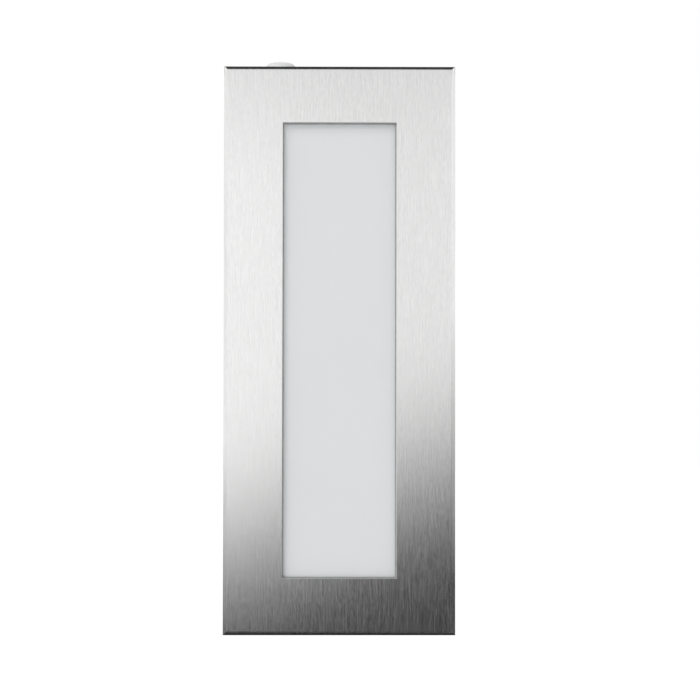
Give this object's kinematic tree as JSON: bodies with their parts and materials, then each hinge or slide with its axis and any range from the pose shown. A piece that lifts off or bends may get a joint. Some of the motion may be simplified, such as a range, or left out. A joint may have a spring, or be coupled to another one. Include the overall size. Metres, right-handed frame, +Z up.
{
  "type": "step light",
  "caption": "Tall recessed step light: brushed stainless cover plate with an opal glass window, held by leaf springs in a moulded wall housing with LED gear and a cable gland.",
  "frame": {"origin": "centre of the four wall fixing holes, in the plane of the wall (the back of the housing's flange)", "axes": "+Z up along the plate's long side, +Y into the wall, +X to the right seen from the room"},
  "size_m": [0.11, 0.08, 0.2822],
  "materials": {
    "brushed_stainless": "vertical brushed grain, satin",
    "opal_glass": "opal white, smooth",
    "silicone_grey": "matt",
    "zinc_steel": "bright zinc plate",
    "spring_steel": "rolled strip",
    "housing_grey": "light grey moulding, fine texture",
    "tray_white": "white powder coat",
    "board_white": "white solder mask",
    "led_phosphor": "phosphor in a white package",
    "screw_zinc": "bright zinc plate",
    "connector_white": "moulded nylon",
    "driver_base_grey": "dark grey moulding",
    "driver_white": "fine moulded texture",
    "terminal_natural": "natural nylon",
    "brass": "turned",
    "lead_brown": "PVC insulation",
    "lead_blue": "PVC insulation",
    "lead_red": "PVC insulation",
    "lead_black": "PVC insulation",
    "gland_grey": "light grey nylon",
    "rubber_black": "matt"
  },
  "bodies": {
    "housing": {"housing": "housing_grey", "cover_seal": "rubber_black", "gear_tray": "tray_white", "tray_screws": "screw_zinc", "led_board": "board_white", "leds": "led_phosphor", "board_screws": "screw_zinc", "board_connector": "connector_white", "wire_grommet": "rubber_black", "driver_base": "driver_base_grey", "driver_cover": "driver_white", "driver_screws": "screw_zinc", "terminal_block": "terminal_natural", "terminal_clamps": "brass", "clamp_screws": "screw_zinc", "terminal_screws": "screw_zinc", "live_lead": "lead_brown", "neutral_lead": "lead_blue", "led_lead_positive": "lead_red", "led_lead_negative": "lead_black", "gland_washer": "rubber_black", "gland_body": "gland_grey", "gland_seal": "rubber_black", "gland_dome_nut": "gland_grey", "plug_washer": "rubber_black", "blanking_plug": "gland_grey"},
    "cover": {"face_plate": "brushed_stainless", "weld_studs": "zinc_steel", "stud_nuts": "zinc_steel", "diffuser_glass": "opal_glass", "glass_channel": "silicone_grey", "glass_retainer": "zinc_steel", "leaf_spring_upper_left": "spring_steel", "leaf_spring_upper_right": "spring_steel", "leaf_spring_lower_left": "spring_steel", "leaf_spring_lower_right": "spring_steel"}
  },
  "joints": [
    {"name": "cover_pull", "type": "slide", "parent": "housing", "child": "cover", "axis": [0, -1, 0], "range_m": [0, 0.08]}
  ]
}
